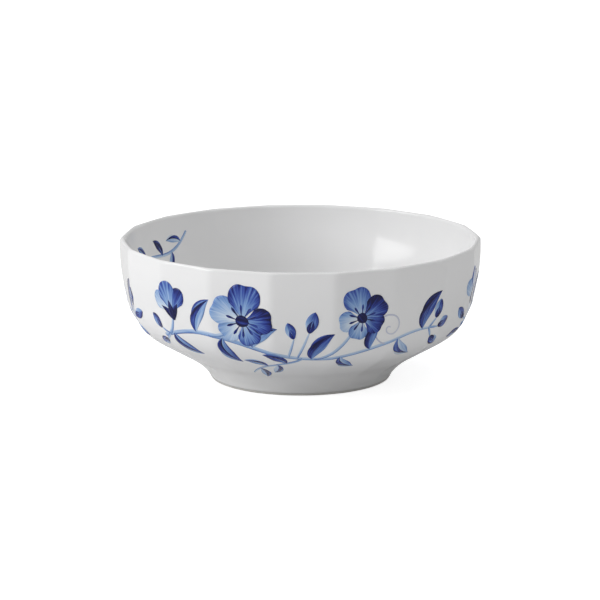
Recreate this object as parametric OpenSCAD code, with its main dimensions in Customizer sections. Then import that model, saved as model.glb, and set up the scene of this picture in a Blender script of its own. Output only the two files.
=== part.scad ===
// Porcelain serving bowl with flat panels round its wall, on a turned foot ring.
// The wall and the foot ring are two pieces of porcelain, luted face to face with slip.
// The glaze is a glassy skin over both: one coat on everything that shows, and one in the
// recess under the bowl. The land that the bowl stands on stays bare.
// The origin is on the table under the middle of the bowl, and one panel faces -Y.

/* [Rim] */
// Width across the rim, from corner to opposite corner
rim_w = 240; // [205:1:320]
// Height of the rim above the table
bowl_h = 94; // [78:1:125]
// Thickness at the rim in the middle of a panel, glaze included
rim_wall = 2.2; // [2:0.1:5]
// Number of flat panels round the wall, even so that the bowl stays symmetrical
panels = 18; // [8:2:24]

/* [Shoulder] */
// Width across the shoulder, where the wall turns in
shoulder_w = 231; // [190:1:250]
// Height of the shoulder
shoulder_h = 52; // [40:1:63]
// Slope of the wall at the shoulder, in degrees from level
shoulder_rise = 78; // [60:1:84]

/* [Underside] */
// Width across the middle of the sloping underside
haunch_w = 164; // [156:1:176]
// Height of that place
haunch_h = 20; // [18:0.1:24]
// Slope of the underside there, in degrees from level
haunch_rise = 30; // [20:1:40]
// Thickness of the porcelain under the floor, glaze included
base_wall = 5.6; // [4.5:0.1:8]

/* [Foot ring] */
// Width across the foot where it stands
foot_w = 121; // [96:1:146]
// Height of the foot ring, up to the joint with the bowl
foot_h = 9; // [7:0.1:11]
// Thickness of the foot ring where it stands
foot_wall = 5.5; // [4:0.1:8]
// How far the foot ring widens from the table to the joint, on each side
foot_flare = 5.5; // [3:0.1:9]

/* [Glaze] */
// Thickness of the glaze
glaze_t = 0.3; // [0.2:0.05:0.6]
// Height of the bare, rounded edge that the foot stands on
bare_h = 1.6; // [1:0.1:3]

/* [Hidden] */

per_panel = 2;               // steps round the bowl in one panel
around = panels * per_panel; // steps round the whole bowl
half_panel = 180 / panels;
pull = 0.38;                 // reach of a curve's handles, as a share of its chord
rim_rise = 92;               // slope of the wall just under the lip, in degrees from level
joint_rise = 46;             // slope of the side at the joint of foot and bowl
foot_rise = 66;              // slope of the foot's side near the table
recess_draft = 1.5;          // how much narrower the recess is at its top, on each side
inner_panel = 0.15;          // how flat the panels are on the inside, against 1 outside

joint_r = foot_w / 2 + foot_flare;
recess_r = foot_w / 2 - foot_wall;
recess_top_r = recess_r - recess_draft;
panel_full_r = shoulder_w / 2 * 0.8; // the panels are fully flat outside this radius
rim_inner_r = rim_w / 2 - corner_depth(rim_w / 2) - rim_wall;
lip_r = (rim_w / 2 - rim_inner_r) / 2;
lip_z = bowl_h - lip_r;
floor_z = foot_h + base_wall;

// Stations of the outer line, from the foot up to the lip: [radius, height, slope].
foot_start = [foot_w / 2, bare_h, foot_rise];
joint = [joint_r, foot_h, joint_rise];
haunch = [haunch_w / 2, haunch_h, haunch_rise];
shoulder = [shoulder_w / 2, shoulder_h, shoulder_rise];
rim = [rim_w / 2, lip_z, rim_rise];

// Stations of the inner line, from the lip down to the middle of the floor.
inner_rim = [rim_inner_r, lip_z, rim_rise - 180];
inner_shoulder = across(shoulder, (rim_wall + base_wall) / 2 + corner_depth(shoulder_w / 2));
inner_haunch = across(haunch, base_wall);
floor_middle = [0, floor_z, -180];

// How much further out a flat panel's corner is than its middle, where the corner is at r.
function corner_depth(r) = r * (1 - cos(half_panel));
function spot(s) = [s[0], s[1]];
function heading(a) = [cos(a), sin(a)];
// A station moved through the wall by d, square to its slope, and travelled the other way.
function across(s, d) = [s[0] - d * sin(s[2]), s[1] + d * cos(s[2]), s[2] - 180];

// Cubic curve from station p to station q in steps, left and reached along their slopes,
// as [radius, height, slope], without its last point.
function stretch(p, q, steps) =
    let (a = spot(p), d = spot(q), reach = norm(d - a) * pull,
        b = a + heading(p[2]) * reach, c = d - heading(q[2]) * reach)
    [for (i = [0 : steps - 1])
        let (t = i / steps, k = 1 - t,
            at = a * k * k * k + b * 3 * k * k * t + c * 3 * k * t * t + d * t * t * t,
            way = (b - a) * k * k + (c - b) * 2 * k * t + (d - c) * t * t)
        [at[0], at[1], atan2(way[1], way[0])]];
// Half circle over the lip, from the outside to the inside.
function over_lip(steps) =
    [for (i = [0 : steps])
        let (a = 180 * i / steps)
        [rim_w / 2 - lip_r + lip_r * cos(a), lip_z + lip_r * sin(a), a + 90]];

// The foot's side up to the joint, and the line on over the wall, the lip and the inside.
foot_line = concat(stretch(foot_start, joint, 4), [joint]);
inside_line = concat(
    stretch(inner_rim, inner_shoulder, 6), stretch(inner_shoulder, inner_haunch, 6),
    stretch(inner_haunch, floor_middle, 5));
bowl_line = concat(
    stretch(joint, haunch, 4), stretch(haunch, shoulder, 6), stretch(shoulder, rim, 6),
    over_lip(6), [for (i = [1 : len(inside_line) - 1]) inside_line[i]]);
coated_line = concat([for (i = [0 : len(foot_line) - 2]) foot_line[i]], bowl_line);

// A place on the line, moved in by d square to its slope. The joint's edge stays level.
function sink(p, d) =
    p[1] == foot_h ? [p[0] - d / sin(p[2]), p[1]]
                   : [p[0] - d * sin(p[2]), p[1] + d * cos(p[2])];

// How flat the panels are at a place, from 0 for round to 1 for flat. They are flat up the
// outside, soften over the lip and are nearly round inside.
function share(v, lo, hi) = max(0, min(1, (v - lo) / (hi - lo)));
function flatness(p) =
    let (inside = p[2] < 0 ? 1 : share(p[2], rim_rise, 270))
    share(p[0], recess_r, panel_full_r) * (1 - (1 - inner_panel) * inside);
// Radius at angle a of a panel whose corners are at radius r.
function panel_r(r, a, flat) =
    let (off = a - 2 * half_panel * round(a / (2 * half_panel)))
    r * (1 - flat * (1 - cos(half_panel) / cos(off)));
// A ring of points at radius r and height z. Angle 0 is the middle of the panel at -Y.
function ring(r, z, flat = 0) =
    [for (i = [0 : around - 1])
        let (a = 360 * i / around, here = panel_r(r, a, flat))
        [here * sin(a), -here * cos(a), z]];
// The rings of a line that is sunk by d below the glaze's face.
function rings(line, d) = [for (p = line) let (s = sink(p, d)) each ring(s[0], s[1], flatness(p))];
// The same rings, travelled the other way.
function rings_back(line, d) = rings([for (i = [len(line) - 1 : -1 : 0]) line[i]], d);

// Faces between ring i and the next, facing out when the line is travelled up the outside.
// Where the line is travelled backwards, the other diagonal makes the same facets, so that
// two pieces that meet there fit without a gap or an overlap.
function band(i, backwards = false) =
    [for (j = [0 : around - 1])
        let (k = (j + 1) % around, a = i * around, b = a + around)
        each (backwards ? [[a + j, b + j, a + k], [b + j, b + k, a + k]]
                        : [[a + j, b + j, b + k], [a + j, b + k, a + k]])];

// Solid of rings, closed by a point on the axis at each end. The first few bands, as many as
// backwards says, are travelled backwards.
module poled(first, points, last, backwards = 0) {
    count = len(points) / around;
    low = count * around;
    high = low + 1;
    top = low - around;
    polyhedron(concat(points, [first, last]), concat(
        [for (j = [0 : around - 1]) [low, j, (j + 1) % around]],
        [for (i = [0 : count - 2]) each band(i, i < backwards)],
        [for (j = [0 : around - 1]) [high, top + (j + 1) % around, top + j]]));
}
// Solid of rings that come back to the first one.
module looped(points) {
    total = len(points);
    polyhedron(points, [for (i = [0 : total / around - 1]) each
        [for (f = band(i)) [for (v = f) v % total]]]);
}

// The porcelain wall, shoulder and floor, without their glaze.
module bowl_body() {
    color([0.93, 0.93, 0.91])
    poled([0, 0, foot_h], rings(bowl_line, glaze_t), [0, 0, floor_z - glaze_t]);
}

// The foot ring: its top is luted to the bowl, and its bare land stands on the table.
module foot_ring() {
    side = sink(foot_start, glaze_t);
    flat = flatness(foot_start);
    color([0.86, 0.84, 0.8])
    looped(concat(
        ring(side[0] - bare_h * 0.8, 0, flat), ring(side[0] - bare_h * 0.25, bare_h * 0.3, flat),
        rings(foot_line, glaze_t),
        ring(recess_top_r, foot_h), ring(recess_r, bare_h), ring(recess_r + bare_h * 0.7, 0)));
}

// The skin of glaze, from the foot's side up over the wall and the lip to the floor.
module glaze_coat() {
    color([0.97, 0.98, 0.99])
    poled([0, 0, floor_z - glaze_t],
        concat(rings_back(coated_line, glaze_t), rings(coated_line, 0)), [0, 0, floor_z],
        backwards = len(coated_line) - 1);
}

// The glaze in the recess under the bowl.
module recess_glaze() {
    color([0.97, 0.98, 0.99])
    poled([0, 0, foot_h - glaze_t],
        concat(
            ring(recess_top_r - glaze_t, foot_h - glaze_t), ring(recess_r - glaze_t, bare_h),
            ring(recess_r, bare_h), ring(recess_top_r, foot_h)),
        [0, 0, foot_h], backwards = 3);
}

bowl_body();
foot_ring();
glaze_coat();
recess_glaze();
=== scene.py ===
# %% [markdown]
# # A porcelain serving bowl
# A white bowl with eighteen flat panels round its wall, a rounded lip and a low foot ring.
# Blue flowers are brushed on the porcelain by hand and covered with a clear glossy glaze.
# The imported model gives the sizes. This lesson makes the surfaces that one sees.

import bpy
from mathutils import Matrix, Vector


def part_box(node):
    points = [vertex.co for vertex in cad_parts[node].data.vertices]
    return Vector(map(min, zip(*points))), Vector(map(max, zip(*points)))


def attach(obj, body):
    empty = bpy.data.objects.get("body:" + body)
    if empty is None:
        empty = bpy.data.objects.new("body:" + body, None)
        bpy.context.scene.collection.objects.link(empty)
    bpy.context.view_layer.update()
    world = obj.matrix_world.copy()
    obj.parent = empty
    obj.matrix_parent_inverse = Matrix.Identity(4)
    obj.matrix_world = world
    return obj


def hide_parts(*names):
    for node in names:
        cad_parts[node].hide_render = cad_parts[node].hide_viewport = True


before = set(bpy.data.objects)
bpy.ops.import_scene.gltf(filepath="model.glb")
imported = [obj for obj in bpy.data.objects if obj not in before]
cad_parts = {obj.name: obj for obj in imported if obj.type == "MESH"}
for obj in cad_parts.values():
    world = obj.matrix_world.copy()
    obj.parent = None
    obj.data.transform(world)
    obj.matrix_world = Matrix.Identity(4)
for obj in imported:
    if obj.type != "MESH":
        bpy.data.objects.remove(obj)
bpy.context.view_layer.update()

# %% Tools for this lesson
import bisect
import math
import random

import bmesh
import bpy
from mathutils import Vector

MM = 0.001
TAU = 2 * math.pi

# %% [markdown]
# ## Sizes
# The height, the greatest width and the foot come from the model, so the surfaces always fit
# it. The stations of the wall are the same design values as the model's own: a radius, a
# height and a slope in degrees from level.

# %% Sizes of the bowl
coat_low, coat_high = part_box("glaze_coat")
foot_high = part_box("foot_ring")[1]
recess_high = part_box("recess_glaze")[1]

rim_r = 120 * MM
widest = coat_high.x
rim_z = coat_high.z
foot_z = foot_high.z
bare_z = coat_low.z
recess_r = recess_high.x

panels = 18
half_panel = math.pi / panels
rim_wall = 2.2 * MM
base_wall = 5.6 * MM
glaze = 0.3 * MM
foot_r = recess_r + 5.5 * MM
joint_r = foot_r + 5.5 * MM
recess_top_r = recess_r - 1.5 * MM
floor_z = foot_z + base_wall


def corner_depth(r):
    """How much further out a panel's corner is than its middle."""
    return r * (1 - math.cos(half_panel))


rim_inner_r = rim_r - corner_depth(rim_r) - rim_wall
lip_r = (rim_r - rim_inner_r) / 2
lip_z = rim_z - lip_r

foot_start = (foot_r, bare_z, 66)
joint = (joint_r, foot_z, 46)
haunch = (82 * MM, 20 * MM, 30)
shoulder = (115.5 * MM, 52 * MM, 78)
rim = (rim_r, lip_z, 92)
print(f"rim {rim_r / MM:.1f} mm radius, {rim_z / MM:.1f} mm high, foot {foot_r / MM:.1f} mm radius")

# %% [markdown]
# ## The line of the wall
# A potter sees a bowl as one line turned round an axis. The line here is a chain of Bezier
# curves. Each curve leaves one station and reaches the next along their slopes, so the chain
# has no kinks. The inside is the outside moved through the wall, which is thin at the lip and
# thick under the floor.

# %% Curves between stations
PULL = 0.38


def across(station, wall):
    """The station on the other face of the wall, travelled the other way."""
    r, z, slope = station
    turn = math.radians(slope)
    return (r - wall * math.sin(turn), z + wall * math.cos(turn), slope - 180)


def stretch(start, end, steps):
    """Points (radius, height, slope) from one station to the next, without the last."""
    a, d = Vector(start[:2]), Vector(end[:2])
    leave, reach = math.radians(start[2]), math.radians(end[2])
    handle = (d - a).length * PULL
    b = a + Vector((math.cos(leave), math.sin(leave))) * handle
    c = d - Vector((math.cos(reach), math.sin(reach))) * handle
    line = []
    for i in range(steps):
        t = i / steps
        k = 1 - t
        at = a * k**3 + b * 3 * k * k * t + c * 3 * k * t * t + d * t**3
        way = (b - a) * k * k + (c - b) * 2 * k * t + (d - c) * t * t
        line.append((at.x, at.y, math.atan2(way.y, way.x)))
    return line


def over_lip(steps):
    """The half circle over the lip, from the outside to the inside."""
    turns = [math.pi * i / steps for i in range(steps + 1)]
    return [
        (rim_r - lip_r + lip_r * math.cos(a), lip_z + lip_r * math.sin(a), a + math.pi / 2)
        for a in turns
    ]


inner_rim = (rim_inner_r, lip_z, rim[2] - 180)
inner_shoulder = across(shoulder, (rim_wall + base_wall) / 2 + corner_depth(shoulder[0]))
inner_haunch = across(haunch, base_wall)
floor_middle = (0, floor_z, -180)

foot_side = stretch(foot_start, joint, 8)
outer_wall = stretch(joint, haunch, 14) + stretch(haunch, shoulder, 20) + stretch(shoulder, rim, 22)
outer_wall = [(min(r, widest), z, slope) for r, z, slope in outer_wall]
inner_wall = (
    stretch(inner_rim, inner_shoulder, 20)
    + stretch(inner_shoulder, inner_haunch, 20)
    + stretch(inner_haunch, floor_middle, 24)
)
coated_line = foot_side + outer_wall + over_lip(12) + inner_wall[1:]
print(len(coated_line), "points on the line that the glaze covers")

# %% [markdown]
# ## The panels
# A press mould gives the wall its panels. Outside they are flat from the lip to the shoulder
# and soften towards the round foot. Over the lip they fade, so the inside is nearly round.
# Turning the line gives a round bowl, so each point is then drawn in until its panel is flat.
# A smooth minimum of the two nearest panels rounds the corner between them, as glaze does.

# %% Panels round the wall
INNER_PANEL = 0.15
CORNER_SOFT = 0.005
panel_full_r = shoulder[0] * 0.8


def share(value, low, high):
    """How far value is on the way from low to high, from 0 to 1."""
    return max(0.0, min(1.0, (value - low) / (high - low)))


def flatness(point):
    """How flat the panels are at a point of the line, from 0 for round to 1 for flat."""
    r, z, slope = point
    inside = 1 if slope < 0 else share(slope, math.radians(rim[2]), 1.5 * math.pi)
    return share(r, recess_r, panel_full_r) * (1 - (1 - INNER_PANEL) * inside)


def panel_share(angle, flat):
    """The share of the corner's radius that the wall has at an angle, with soft corners."""
    off = angle - 2 * half_panel * round(angle / (2 * half_panel))
    near = math.cos(half_panel) / math.cos(off)
    next_one = math.cos(half_panel) / math.cos(2 * half_panel - abs(off))
    overlap = max(CORNER_SOFT - abs(near - next_one), 0) / CORNER_SOFT
    return 1 - flat * (1 - min(near, next_one) + overlap * overlap * CORNER_SOFT / 4)


# %% [markdown]
# ## Turning the porcelain
# `bmesh.ops.spin` turns a line of vertices round the axis. Each vertex carries how flat its
# panel is in a layer of its own, and the spin copies the layer, so the panels can be pressed
# in afterwards. Points on the axis are merged, which closes the pole in the floor.

# %% Turn a line into a piece
def turned(name, line, steps, closed=False):
    """A closed piece: a line of (radius, height, flatness) turned round the upright axis."""
    bm = bmesh.new()
    layer = bm.verts.layers.float.new("flatness")
    corners = []
    for r, z, flat in line:
        vert = bm.verts.new((0, -r, z))
        vert[layer] = flat
        corners.append(vert)
    pairs = list(zip(corners, corners[1:]))
    if closed:
        pairs.append((corners[-1], corners[0]))
    edges = [bm.edges.new(pair) for pair in pairs]
    bmesh.ops.spin(
        bm, geom=corners + edges, cent=(0, 0, 0), axis=(0, 0, 1), angle=TAU, steps=steps, use_merge=True
    )
    bmesh.ops.remove_doubles(bm, verts=bm.verts, dist=0.002 * MM)
    for vert in bm.verts:
        angle = math.atan2(vert.co.x, -vert.co.y)
        pressed = panel_share(angle, vert[layer])
        vert.co.x *= pressed
        vert.co.y *= pressed
    bmesh.ops.recalc_face_normals(bm, faces=bm.faces)
    for face in bm.faces:
        face.smooth = True
    return made_object(name, bm)


def made_object(name, bm):
    """Puts a finished bmesh into the scene as an object at the origin."""
    mesh = bpy.data.meshes.new(name)
    bm.to_mesh(mesh)
    bm.free()
    piece = bpy.data.objects.new(name, mesh)
    bpy.context.scene.collection.objects.link(piece)
    print(name, len(mesh.vertices), "vertices", len(mesh.polygons), "faces")
    return piece


def sunk(line, depth):
    """The line moved into the porcelain, as (radius, height, flatness)."""
    return [
        (max(r - depth * math.sin(slope), 0), z + depth * math.cos(slope), flatness((r, z, slope)))
        for r, z, slope in line
    ]


STEPS = panels * 16

# %% [markdown]
# ## The four pieces
# The glaze coat is one closed skin: up the outside, over the lip and down the inside, with its
# underside towards the clay. The porcelain under it follows the same line, sunk a hair deeper
# than the glaze, so that no two faces lie in one place. The foot ring is turned from its own
# section. It stays bare where it stands, because glaze there would fuse it to the kiln shelf.

# %% The coat of glaze
glaze_line = sunk(coated_line, 0)
under_glaze = sunk(coated_line, glaze)
coat_line = [(0, floor_z, 0)] + glaze_line[::-1] + under_glaze + [(0, floor_z - glaze, 0)]
bowl_glaze = turned("bowl_glaze", coat_line, STEPS)

# %% The porcelain under it
clay_depth = glaze * 1.1
body_line = sunk(outer_wall + over_lip(8) + inner_wall[1:], clay_depth)
body_line = [(0, foot_z, 0), (body_line[0][0], foot_z, body_line[0][2])] + body_line[1:]
bowl_porcelain = turned("bowl_porcelain", body_line + [(0, floor_z - clay_depth, 0)], panels * 8)

# %% The foot ring
foot_flat = flatness(foot_side[0])


def foot_section(steps=6):
    """The ring's section: its side under the glaze, the joint, the recess and the bare land."""
    side = sunk(foot_side + [outer_wall[0]], clay_depth)
    low_r = side[0][0]
    outer_round = [
        (
            low_r - bare_z * (1 - math.cos(math.pi / 2 * i / steps)),
            bare_z * (1 - math.sin(math.pi / 2 * i / steps)),
            foot_flat,
        )
        for i in range(steps, 0, -1)
    ]
    inner_round = [
        (
            recess_r + bare_z * (1 - math.cos(math.pi / 2 * i / steps)),
            bare_z * (1 - math.sin(math.pi / 2 * i / steps)),
            0,
        )
        for i in range(steps + 1)
    ]
    side[-1] = (side[-1][0], foot_z, side[-1][2])
    return outer_round + side + [(recess_top_r, foot_z, 0)] + inner_round


foot_ring = turned("foot_ring_porcelain", foot_section(), STEPS, closed=True)

# %% [markdown]
# ## The recess
# The recess under the bowl is glazed as a cup of its own. The bare land parts it from the
# coat outside. Its corner is rounded, as glaze pools there.

# %% The glaze in the recess
RECESS_ROUND = 2.5 * MM


def recess_section(steps=8):
    """A thin cup turned upside down, with a soft corner between its side and its top."""
    centre_r = recess_top_r - glaze - RECESS_ROUND
    centre_z = foot_z - glaze - RECESS_ROUND
    corner = [
        (
            centre_r + RECESS_ROUND * math.sin(math.pi / 2 * i / steps),
            centre_z + RECESS_ROUND * math.cos(math.pi / 2 * i / steps),
            0,
        )
        for i in range(steps + 1)
    ]
    top = [(0, foot_z - glaze, 0), (recess_top_r / 2, foot_z - glaze, 0)]
    return top + corner + [
        (recess_r - glaze, bare_z, 0),
        (recess_r, bare_z, 0),
        (recess_top_r, foot_z, 0),
        (recess_top_r / 2, foot_z, 0),
        (0, foot_z, 0),
    ]


recess_glaze = turned("recess_glaze_coat", recess_section(), panels * 8)

# %% [markdown]
# ## Where the pieces belong
# Nothing on a bowl moves, so every piece rides the one body of the model. Each takes a material
# slot, by which a later user can recolour it.

# %% Where the pieces belong
for piece, node, slot in (
    (bowl_glaze, "glaze_coat", "clear_glaze"),
    (bowl_porcelain, "bowl_body", "porcelain"),
    (foot_ring, "foot_ring", "bare_porcelain"),
    (recess_glaze, "recess_glaze", "clear_glaze"),
):
    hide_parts(node)
    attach(piece, "root")

# %% [markdown]
# ## The wall as a sheet to paint on
# A painter turns the bowl under the brush, so the wall is one long sheet. A place on it is a
# distance round from the middle of the front panel, as measured where the wall is 118 mm from
# the axis, and a distance along the wall's line. Both are in millimetres. Wrapping that sheet
# back on the wall bends each brush mark to the panels.

# %% A face of the wall
PAINT_R = 118 * MM


class PaintFace:
    """One face of the wall, flattened to a sheet."""

    def __init__(self, line):
        self.line = line
        self.reach = [0.0]
        for here, after in zip(line, line[1:]):
            self.reach.append(self.reach[-1] + math.dist(here[:2], after[:2]))

    def at(self, along):
        """Radius, height and slope of the line at a distance along it."""
        i = min(max(bisect.bisect_left(self.reach, along), 1), len(self.line) - 1)
        t = (along - self.reach[i - 1]) / (self.reach[i] - self.reach[i - 1])
        return tuple(a + (b - a) * t for a, b in zip(self.line[i - 1], self.line[i]))

    def squeeze(self, along):
        """How much shorter a distance round the wall is there than at the painter's radius."""
        return self.at(along)[0] / PAINT_R

    def place(self, round_it, along, lift):
        """The point of the bowl under a place on the sheet, lifted off its surface."""
        r, z, slope = self.at(along)
        angle = round_it / PAINT_R
        flat = flatness((r, z, slope))
        r = (r + lift * math.sin(slope)) * panel_share(angle, flat)
        return Vector((r * math.sin(angle), -r * math.cos(angle), z - lift * math.cos(slope)))


outside = PaintFace(foot_side + outer_wall)
inside = PaintFace(inner_wall)
print(f"outside {outside.reach[-1] / MM:.1f} mm from foot to lip, inside {inside.reach[-1] / MM:.1f} mm")

# %% [markdown]
# ## Brush marks
# Each mark of the brush is a grid of faces, bent to the mark's outline and wrapped on the wall.
# A sweep is a mark along a curve, as wide as its width rule says. A fan is a petal whose
# streaks run out from the blossom's heart to a notched edge. The other way is a pattern inside
# the glaze's own material. A mesh was chosen because it keeps the edge of the brush crisp at
# any distance, and because each mark can be moved or recoloured by itself.

# %% Outlines of brush marks
def curve(*points):
    """A Bezier curve on the sheet, pulled by the points between its ends."""

    def at(t):
        row = [Vector(point) for point in points]
        while len(row) > 1:
            row = [a.lerp(b, t) for a, b in zip(row, row[1:])]
        return row[0]

    return at


def tapered(wide, belly, root, tip, point):
    """A width rule: widest at its belly, and as wide at the root and the tip as asked."""
    bend = math.log(0.5) / math.log(belly)

    def width(u):
        bell = max(math.sin(math.pi * u**bend), 0) ** point
        rest = root if u < belly else tip
        return wide * (rest + (1 - rest) * bell)

    return width


def sweep(face, path, width):
    """The outline of a mark drawn along a path."""

    def outline(u, v):
        here = path(u)
        ahead = path(min(u + 0.02, 1)) - path(max(u - 0.02, 0))
        squeeze = face.squeeze(here.y * MM)
        way = Vector((ahead.x * squeeze, ahead.y)).normalized()
        side = (v - 0.5) * width(u)
        return here.x - way.y * side / squeeze, here.y + way.x * side

    return outline


def fan(face, heart, turn, wide, reach, notches):
    """The outline of a rounded petal round a direction, in degrees clockwise from up."""

    def outline(u, v):
        round_tip = 0.62 + 0.38 * math.sin(math.pi * v) ** 0.6
        notched = 1 - 0.07 * abs(math.cos(math.pi * notches * v)) ** 3
        far = reach * round_tip * notched * (0.1 + 0.9 * u)
        way = math.radians(turn + wide * (v - 0.5) * (0.7 + 0.3 * u))
        squeeze = face.squeeze(heart[1] * MM)
        return heart[0] + far * math.sin(way) / squeeze, heart[1] + far * math.cos(way)

    return outline


# %% [markdown]
# ## Marks that dry to a skin
# The grid is laid out flat first, where its own x and y are the places along and across the
# mark. `extrude_face_region` with the first faces kept gives it an underside, so that it is
# closed, and then both are wrapped on the wall. Marks that cross lie on separate layers of
# 15 microns, as one coat of cobalt does over another. With less, a mark's flat cells would cut
# through the one below at a panel's corner. Three records go with each mark: how full the
# brush was, where its hairs ran, and its own row in the map for baking. On a real bowl the
# cobalt is under the glaze. Here it lies on the glaze's face, with a gloss like the glaze's.

# %% The brush
SKIN = 0.05 * MM
CELL = 1.1
LAYER = 0.015 * MM
BELOW = 0.05 * MM


class Brushwork:
    """The marks of one motif on a face of the wall."""

    def __init__(self, name, face, seed, layer=0, shift=0):
        self.name = name
        self.face = face
        self.draw = random.Random(seed)
        self.layer = layer
        self.shift = shift
        self.bm = bmesh.new()
        self.ink = self.bm.verts.layers.float.new("ink")
        self.hairs = self.bm.verts.layers.float_vector.new("hairs")
        self.mark_map = self.bm.loops.layers.uv.new("mark")
        self.bake_map = self.bm.loops.layers.uv.new("OFBake")
        self.rows = []

    def mark(self, outline, ink, size, steps):
        """Adds a mark. Ink is how full the brush is at root and tip, and its change across."""
        bm = self.bm
        rise = LAYER * self.layer
        hair = self.draw.uniform(0, 50)
        over = bmesh.ops.create_grid(bm, x_segments=steps[0], y_segments=steps[1], size=0.5)["verts"]
        top = list({face for vert in over for face in vert.link_faces})
        made = bmesh.ops.extrude_face_region(bm, geom=top, use_keep_orig=True)["geom"]
        under = [part for part in made if isinstance(part, bmesh.types.BMVert)]
        base = [part for part in made if isinstance(part, bmesh.types.BMFace)]
        rim = list({face for vert in under for face in vert.link_faces} - set(base))
        for face in top + base + rim:
            face.smooth = face not in rim
            for loop in face.loops:
                loop[self.mark_map].uv = loop.vert.co.xy + Vector((0.5, 0.5))
        for verts, lift in ((over, SKIN + rise), (under, -BELOW - rise)):
            for vert in verts:
                u, v = vert.co.x + 0.5, vert.co.y + 0.5
                vert[self.ink] = max(ink[0] + (ink[1] - ink[0]) * u + ink[2] * (v - 0.5), 0)
                vert[self.hairs] = Vector((u * size[0] * 0.05, v * size[1] * 0.55, hair))
                round_it, along = outline(u, v)
                vert.co = self.face.place((self.shift + round_it) * MM, along * MM, lift)
        self.rows.append((top, base + rim))

    def stroke(self, path, wide, ink, belly=0.45, root=0.0, tip=0.0, point=1.0, across=8):
        """A leaf, a stem or a narrow petal: one pull of the brush along a path."""
        length = sum((path((i + 1) / 8) - path(i / 8)).length for i in range(8))
        width = tapered(wide, belly, root, tip, point)
        steps = (max(round(length / CELL), 12), across)
        self.mark(sweep(self.face, path, width), ink, (length, wide), steps)

    def petal(self, heart, turn, wide, reach, ink, notches=2):
        """A rounded petal that fans out from its heart."""
        outline = fan(self.face, heart, turn, wide, reach, notches)
        self.mark(outline, ink, (reach, math.radians(wide) * reach), (14, 32))

    def dry(self):
        """Lays the marks out for baking and hangs the piece on the bowl."""
        for row, (top, hidden) in enumerate(self.rows):
            for faces, low, high in ((top, 0.01, 0.89), (hidden, 0.91, 0.99)):
                for face in faces:
                    for loop in face.loops:
                        u, v = loop[self.mark_map].uv
                        place = (row + 0.06 + 0.88 * v) / len(self.rows)
                        loop[self.bake_map].uv = (low + (high - low) * u, place)
        bmesh.ops.remove_doubles(self.bm, verts=self.bm.verts, dist=LAYER / 50)
        bmesh.ops.recalc_face_normals(self.bm, faces=self.bm.faces)
        piece = made_object(self.name, self.bm)
        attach(piece, "root")
        return piece


# %% [markdown]
# ## A plain flower sprig
# The decoration is a plain sprig made for this lesson: five-petalled blossoms, buds and
# leaves on one waving branch. The branch is a sine wave, and each leaf has a place along it
# and a turn off its way. The two blossoms, the twig and the buds between the blossoms are
# given one by one. The three sprigs round the bowl have the same layout and other seeds.

# %% Places along a branch
FULL = 0.97
SHADED = 75


def beside(path, t, turn, reach):
    """A place off a branch: reach away from t, turned to the left of its way in degrees."""
    way = (path(t + 0.01) - path(t - 0.01)).normalized()
    cos, sin = math.cos(math.radians(turn)), math.sin(math.radians(turn))
    return path(t) + Vector((way.x * cos - way.y * sin, way.x * sin + way.y * cos)) * reach


def toward(turn, reach):
    """A step on the sheet, in degrees clockwise from up."""
    return Vector((math.sin(math.radians(turn)), math.cos(math.radians(turn)))) * reach


# %% [markdown]
# ## Blossoms and buds
# An open blossom is five petals round a heart, each a little different in length and turn.
# Cobalt is brushed on more heavily on the shaded side, so the ink of each petal follows from
# the way it points. The heart is filled until it fires nearly black, with stamens round it. A
# half-open blossom shows three petals over a dark calyx, and a bud shows one.

# %% Blossoms
def blossom(name, face, seed, heart, size, turn, shift=0):
    work = Brushwork(name, face, seed, layer=8, shift=shift)
    ways = [turn + 72 * i + work.draw.uniform(-6, 6) for i in range(5)]
    for way in sorted(ways, key=lambda way: math.cos(math.radians(way - SHADED))):
        shade = 0.5 + 0.5 * math.cos(math.radians(way - SHADED))
        reach = size * (0.86 + 0.14 * math.cos(math.radians(way))) * work.draw.uniform(0.95, 1.05)
        ink = (0.02 + 0.42 * shade, 0.4 + 0.55 * shade, 0.3 - 0.6 * shade)
        work.petal(heart, way, 82, reach, ink)
        work.layer += 1
    for i in range(10):
        out = turn + 36 * i + 18
        hair = curve(heart + toward(out, size * 0.12), heart + toward(out + 5, size * 0.46))
        work.stroke(hair, size * 0.07, (FULL, 0.8, 0), belly=0.75, root=0.3, across=4)
    work.layer += 1
    side = toward(turn + 90, size * 0.19)
    work.stroke(curve(heart - side, heart + side), size * 0.32, (FULL, 1, 0), point=0.5)
    return work.dry()


def half_open(name, face, seed, foot, way, size, shift=0):
    work = Brushwork(name, face, seed, layer=10, shift=shift)
    for turn, shade in ((-36, 0.1), (36, 0.9), (0, 0.5)):
        ink = (0.05 + 0.45 * shade, 0.35 + 0.6 * shade, 0.3 - 0.6 * shade)
        work.petal(foot, way + turn, 58, size * (1 - abs(turn) / 300), ink, notches=1)
        work.layer += 1
    for turn in (-48, 48, 0):
        sepal = curve(foot - toward(way, size * 0.2), foot, foot + toward(way + turn, size * 0.44))
        work.stroke(sepal, size * 0.2, (FULL, 0.9, 0), belly=0.5, root=0.3)
        work.layer += 1
    return work.dry()


def buds(name, face, seed, places, shift=0):
    """Closed buds, each at its foot, pointing its way."""
    work = Brushwork(name, face, seed, layer=9, shift=shift)
    for foot, way, size in places:
        tip = foot + toward(way, size)
        work.layer = 9
        work.stroke(curve(foot, tip), size * 0.55, (0.35, 0.75, -0.5), belly=0.5, point=0.7)
        for turn in (-35, 35):
            work.layer += 1
            sepal = curve(foot, foot + toward(way + turn, size * 0.3), foot + toward(way, size * 0.6))
            work.stroke(sepal, size * 0.17, (FULL, 0.8, 0), belly=0.4, across=4)
    return work.dry()


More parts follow.
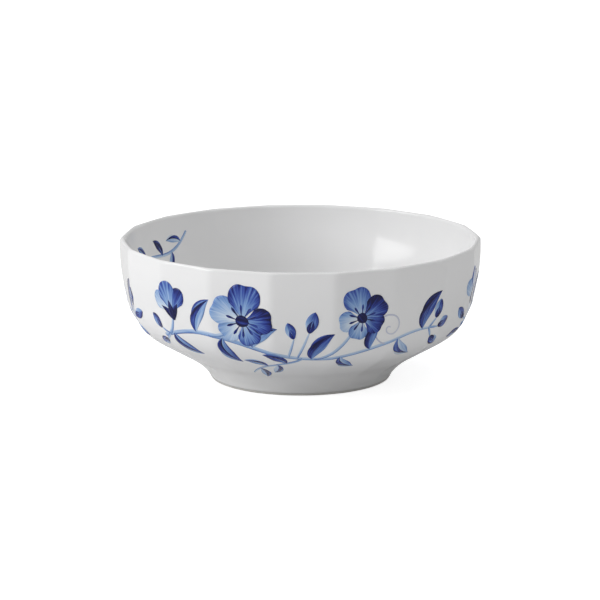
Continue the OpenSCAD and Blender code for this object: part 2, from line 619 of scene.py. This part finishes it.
# %% [markdown]
# ## Leaves, stems and tendrils
# A leaf is two presses of a loaded brush: a broad watery one, pointed where it lands and where
# it lifts, and a narrower dark one down its shaded side. Stems are pulled lightly and stay
# watery, with one darker side where the cobalt settles. A tendril is a spiral that tightens
# evenly, drawn with the tip of a thin brush. Marks this long need cells as short as a
# millimetre, or their straight edges would cut under the corners between two panels.

# %% Leaves, stems and tendrils
def leaves(name, face, seed, path, joints, shift=0):
    """Leaves at joints: place on the branch, turn off it, length, and how dark."""
    work = Brushwork(name, face, seed, shift=shift)
    for t, turn, reach, dark in joints:
        tip = beside(path, t, turn, reach)
        broad = curve(path(t), beside(path, t, turn * 1.5, reach * 0.6), tip)
        narrow = curve(path(t), beside(path, t, turn * 2.1, reach * 0.5), tip)
        ink = (0.15 + 0.5 * dark, 0.3 + 0.6 * dark, 0.3)
        work.layer = 5
        work.stroke(broad, reach * 0.36, ink, belly=0.5, root=0.06)
        work.layer = 6
        work.stroke(narrow, reach * 0.16, (0.6 + 0.3 * dark, 0.97, 0.2), belly=0.45, across=4)
    return work.dry()


def stems(name, face, seed, lines, shift=0):
    """Stems under everything else: their path and their width."""
    work = Brushwork(name, face, seed, shift=shift)
    for path, wide in lines:
        work.stroke(path, wide, (0.42, 0.28, -0.35), root=0.7, tip=0.4, point=0.7, across=6)
        work.layer += 0.5
    return work.dry()


def tendril(name, face, seed, start, size, way, shift=0):
    work = Brushwork(name, face, seed, layer=4.5, shift=shift)

    def path(t):
        return start + toward(way, size) - toward(way + 500 * t, size * (1 - t) ** 0.8)

    work.stroke(path, 1, (0.3, 0.2, 0), belly=0.4, root=0.8, tip=0.6, across=4)
    return work.dry()


# %% [markdown]
# ## Three sprigs round the wall
# One sprig takes a third of the way round. Its branch is a sine wave along the shoulder, with
# an open blossom on each side of its dip, leaves at even steps on both sides, and a twig that
# hangs down over the shoulder towards the foot. The blossoms grow beside the front panel, not
# on it, and no mark crosses the widest corners high up, so the paint adds nothing to the
# bowl's width or depth.

# %% Sprigs outside
THIRD = 2 * math.pi * PAINT_R / MM / 3


def branch(t):
    """The branch of a sprig: it rises, dips under the blossoms and rises again."""
    return Vector((-106 + 204 * t, 66 + 9 * math.sin(2 * math.pi * (1.25 * t + 0.04))))


def sprig(place, seed, shift):
    draw = random.Random(seed)
    hearts = (Vector((-40, 86)), Vector((39, 88)))
    twig = curve(branch(0.52), (-12, 46), (-28, 52), (-46, 28))
    foot = beside(branch, 0.06, 78, 13)
    lines = [(branch, 3.4), (twig, 2.6), (curve(branch(0.02), branch(0.05), foot), 2.2)]
    lines += [
        (curve(branch(t), branch(t + 0.06), heart), 2.4)
        for t, heart in zip((0.2, 0.56), hearts)
    ]
    joints = [
        (0.05 + 0.1 * i, (58 if i % 2 else -58), draw.uniform(22, 28), draw.uniform(0, 1))
        for i in (0, 1, 2, 3, 5, 6, 7, 8, 9)
    ]
    hanging = [
        (0.3 + 0.17 * i, (52 if i % 2 else -52), draw.uniform(17, 21), draw.uniform(0.2, 1))
        for i in range(4)
    ]
    ends = [(0.98, 50, 10), (0.98, 0, 70), (0.98, -60, 130), (0.03, 140, -50), (0.03, -150, -110)]
    tips = [(beside(branch, t, turn, 8), way, 13) for t, turn, way in ends]
    tips += [(Vector((4, 79)), 15, 15), (Vector((-6, 75)), -20, 12)]
    roots = [end[0] for end in ends] + [0.5, 0.47]
    lines += [(curve(branch(t), tip[0]), 1.6) for t, tip in zip(roots, tips)]
    return [
        stems(f"painted_{place}_stems", outside, seed, lines, shift),
        leaves(f"painted_{place}_leaves", outside, seed + 1, branch, joints, shift),
        leaves(f"painted_{place}_twig_leaves", outside, seed + 2, twig, hanging, shift),
        blossom(f"painted_{place}_blossom", outside, seed + 3, hearts[0], 25, 12, shift),
        blossom(f"painted_{place}_small_blossom", outside, seed + 4, hearts[1], 21, 48, shift),
        half_open(f"painted_{place}_half_open", outside, seed + 5, foot, -12, 22, shift),
        buds(f"painted_{place}_buds", outside, seed + 6, tips, shift),
        tendril(f"painted_{place}_tendril", outside, seed + 7, branch(0.8), 12, 10, shift),
    ]


painting = []
for number, place in enumerate(("front", "right", "left")):
    painting += sprig(place, 11 + 20 * number, THIRD * number)

# %% [markdown]
# ## A small sprig inside the lip
# Painters often let a last twig turn over the lip. This one hangs inside, a third of the way
# round from the front.

# %% Sprig inside
inner_twig = curve((-36, 10), (-16, 38), (8, 10), (32, 32))
inner_leaves = [(0.1 + 0.16 * i, (50 if i % 2 else -50), 15, i % 3 / 2) for i in range(6)]
painting += [
    stems("painted_inner_stems", inside, 71, [(inner_twig, 2.2)], -THIRD),
    leaves("painted_inner_leaves", inside, 72, inner_twig, inner_leaves, -THIRD),
    half_open("painted_inner_half_open", inside, 73, inner_twig(1), 70, 16, -THIRD),
]
print(len(painting), "painted pieces")

# %% [markdown]
# ## Materials
# Shader maths reads best as plain sums. `Wire` wraps a socket, so that `mask * 0.5 + 0.2`
# adds the nodes it needs, and `Look.node` adds any other node from its type, its settings
# and what its sockets take.

# %% A small language for shaders
class Wire:
    """A socket that can be added, multiplied and raised like a number."""

    def __init__(self, look, socket):
        self.look = look
        self.socket = socket

    def maths(self, operation, first, second):
        return self.look.maths(operation, first, second)

    def __add__(self, other):
        return self.maths("ADD", self, other)

    def __sub__(self, other):
        return self.maths("SUBTRACT", self, other)

    def __rsub__(self, other):
        return self.maths("SUBTRACT", other, self)

    def __mul__(self, other):
        return self.maths("MULTIPLY", self, other)

    def __pow__(self, other):
        return self.maths("POWER", self, other)


class Look:
    """A material with one Principled shader, and short ways to feed it."""

    def __init__(self, name, **constants):
        self.material = bpy.data.materials.new(name)
        self.material.use_nodes = True
        self.tree = self.material.node_tree
        self.shader = self.tree.nodes["Principled BSDF"]
        for socket, value in constants.items():
            self.shader.inputs[socket.replace("_", " ")].default_value = value

    def node(self, kind, settings=None, sockets=None, out=0):
        made = self.tree.nodes.new(kind)
        settings = dict(settings or {})
        stops = settings.pop("stops", None)
        for key, value in settings.items():
            setattr(made, key, value)
        if stops:
            ramp = made.color_ramp.elements
            while len(ramp) < len(stops):
                ramp.new(1)
            for element, (place, colour) in zip(ramp, stops):
                element.position = place
                element.color = (*colour, 1)
        for key, value in (sockets or {}).items():
            self.feed(made.inputs[key], value)
        return Wire(self, made.outputs[out])

    def maths(self, operation, *values):
        return self.node("ShaderNodeMath", {"operation": operation}, dict(enumerate(values)))

    def feed(self, socket, value):
        if isinstance(value, Wire):
            self.tree.links.new(value.socket, socket)
        else:
            socket.default_value = value

    def shade(self, **wires):
        for socket, value in wires.items():
            self.feed(self.shader.inputs[socket.replace("_", " ")], value)
        return self.material


# %% Glazed porcelain
WHITE = (0.83, 0.83, 0.83)
WHITE_LOW = (0.815, 0.815, 0.82)


def glazed_white(name):
    look = Look(name, Specular_IOR_Level=0.4)
    place = look.node("ShaderNodeTexCoord", out="Object")
    cloud = look.node("ShaderNodeTexNoise", None, {"Vector": place, "Scale": 18.0, "Detail": 3.0}, "Fac")
    colour = look.node(
        "ShaderNodeMix",
        {"data_type": "RGBA"},
        {0: cloud, 6: (*WHITE, 1), 7: (*WHITE_LOW, 1)},
        2,
    )
    ripple = look.node("ShaderNodeTexNoise", None, {"Vector": place, "Scale": 60.0, "Detail": 2.0}, "Fac")
    waves = look.node("ShaderNodeBump", None, {"Strength": 0.05, "Distance": 0.0004, "Height": ripple})
    return look.shade(Base_Color=colour, Roughness=cloud * 0.06 + 0.1, Normal=waves)


def bare_white(name):
    look = Look(name)
    place = look.node("ShaderNodeTexCoord", out="Object")
    grain = look.node("ShaderNodeTexNoise", None, {"Vector": place, "Scale": 900.0, "Detail": 4.0}, "Fac")
    stain = look.node("ShaderNodeTexNoise", None, {"Vector": place, "Scale": 45.0, "Detail": 3.0}, "Fac")
    colour = look.node(
        "ShaderNodeValToRGB",
        {"stops": [(0.3, (0.56, 0.55, 0.52)), (0.55, (0.66, 0.65, 0.62)), (0.8, (0.73, 0.72, 0.7))]},
        {"Fac": stain * 0.7 + grain * 0.3},
        "Color",
    )
    rough = look.node("ShaderNodeBump", None, {"Strength": 0.35, "Distance": 0.0001, "Height": grain})
    return look.shade(Base_Color=colour, Roughness=grain * 0.2 + 0.55, Normal=rough)


glazed = glazed_white("glazed_porcelain")
bare = bare_white("bare_porcelain")
for piece, material in (
    (bowl_glaze, glazed),
    (recess_glaze, glazed),
    (bowl_porcelain, bare),
    (foot_ring, bare),
):
    piece.data.materials.append(material)

# %% [markdown]
# ## Cobalt under the glaze
# Cobalt fires from nearly black where the brush was full to a watery blue where it ran dry.
# The layer called ink says how full it was. Streaks come from noise that is stretched along
# the hairs, and the colour pools a little at the edge of each mark. A ramp turns the sum into
# colour, and it ends in the porcelain's own white, so that a dry brush fades away.

# %% Cobalt
def cobalt(name, stops):
    look = Look(name, Specular_IOR_Level=0.3)
    ink = look.node("ShaderNodeAttribute", {"attribute_name": "ink"}, out="Fac")
    hairs = look.node("ShaderNodeAttribute", {"attribute_name": "hairs"}, out="Vector")
    place = look.node("ShaderNodeUVMap", {"uv_map": "mark"}, out="UV")
    across = look.node("ShaderNodeSeparateXYZ", None, {0: place}, "Y")
    coarse = look.node("ShaderNodeTexNoise", None, {"Vector": hairs, "Scale": 1.0, "Detail": 2.0}, "Fac")
    fine = look.node("ShaderNodeTexNoise", None, {"Vector": hairs, "Scale": 3.0, "Detail": 2.0}, "Fac")
    streaks = coarse * 0.7 + fine * 0.3 - 0.5
    edge = look.maths("ABSOLUTE", across * 2 - 1) ** 6
    amount = ink + streaks * (ink * 1.3 + 0.12) + edge * (1 - ink) * ink * 0.5
    colour = look.node("ShaderNodeValToRGB", {"stops": stops}, {"Fac": amount}, "Color")
    return look.shade(Base_Color=colour, Roughness=streaks * 0.08 + 0.12)


COBALT = [
    (0.02, WHITE),
    (0.15, (0.61, 0.70, 0.80)),
    (0.30, (0.38, 0.51, 0.72)),
    (0.45, (0.20, 0.34, 0.62)),
    (0.58, (0.095, 0.18, 0.47)),
    (0.70, (0.036, 0.075, 0.35)),
    (0.82, (0.012, 0.024, 0.20)),
    (0.97, (0.003, 0.004, 0.055)),
]
THIN_COBALT = [
    (0.02, WHITE),
    (0.2, (0.62, 0.64, 0.73)),
    (0.4, (0.42, 0.44, 0.60)),
    (0.6, (0.22, 0.22, 0.48)),
    (0.85, (0.07, 0.07, 0.28)),
]
brushed = cobalt("cobalt_brushwork", COBALT)
thinned = cobalt("thin_cobalt_wash", THIN_COBALT)
for piece in painting:
    piece.data.materials.append(thinned if "tendril" in piece.name else brushed)

# %% [markdown]
# ## Camera
# The view is from a little above the rim with a long lens, so that the ellipse of the lip stays
# flat and the panels keep their true widths.

# %% Camera
scene = bpy.context.scene
ELEVATION = math.radians(12.2)
TURN = math.radians(-0.8)
DISTANCE = 2.12
AIM = Vector((-0.0003, 0, 0.0511))
camera_data = bpy.data.cameras.new("camera")
camera_data.sensor_width = 36
camera_data.lens = 190.7
camera = bpy.data.objects.new("camera", camera_data)
scene.collection.objects.link(camera)
back = Vector(
    (
        math.sin(TURN) * math.cos(ELEVATION),
        -math.cos(TURN) * math.cos(ELEVATION),
        math.sin(ELEVATION),
    )
)
camera.location = AIM + back * DISTANCE
camera.rotation_mode = "QUATERNION"
camera.rotation_quaternion = (-back).to_track_quat("-Z", "Y")
camera_data.clip_end = 60
scene.camera = camera

# %% [markdown]
# ## Table and light
# The table is a sheet with a glow of its own, so that it hardly shows against the room. Such a
# sheet would throw too much light up under the bowl, so the light that the bowl gets back
# comes from a second sheet just under it, which doesn't glow and which the camera doesn't see.
# The switches for that are the objects' own ray visibility.

# %% Table and room
def table(name, drop, grey, glow):
    """A round sheet under the bowl."""
    bm = bmesh.new()
    bmesh.ops.create_circle(bm, cap_ends=True, segments=96, radius=14)
    bmesh.ops.translate(bm, verts=bm.verts, vec=(0, 0, -drop))
    sheet = made_object(name, bm)
    look = Look(name, Base_Color=(grey, grey, grey, 1), Roughness=0.9, Emission_Color=(1, 1, 1, 1))
    look.shader.inputs["Emission Strength"].default_value = glow
    sheet.data.materials.append(look.material)
    return sheet


seen_table = table("seen_table", 0, 0.5, 0.8)
seen_table.visible_diffuse = False
seen_table.visible_glossy = False
seen_table.visible_shadow = False
bounce_table = table("bounce_table", 0.2 * MM, 0.8, 0)
bounce_table.visible_camera = False

ROOM_LIGHT = 0.505
KEY_WATTS = 21
TOP_WATTS = 6
BOWL_MIDDLE = (0, 0, 0.05)
world = bpy.data.worlds.new("room")
scene.world = world
world.use_nodes = True
room = world.node_tree.nodes["Background"].inputs
room["Color"].default_value = (1, 1, 1, 1)
room["Strength"].default_value = ROOM_LIGHT


def area_light(name, place, target, size, power):
    data = bpy.data.lights.new(name, "AREA")
    data.shape = "RECTANGLE"
    data.size, data.size_y = size
    data.energy = power
    lamp = bpy.data.objects.new(name, data)
    lamp.location = place
    lamp.rotation_mode = "QUATERNION"
    lamp.rotation_quaternion = (Vector(target) - Vector(place)).to_track_quat("-Z", "Y")
    scene.collection.objects.link(lamp)


area_light("key", (-1.7, -0.62, 0.9), BOWL_MIDDLE, (1.2, 1.2), KEY_WATTS)
area_light("top", (0.25, 0.3, 1.7), BOWL_MIDDLE, (2, 2), TOP_WATTS)
scene.view_settings.view_transform = "Standard"
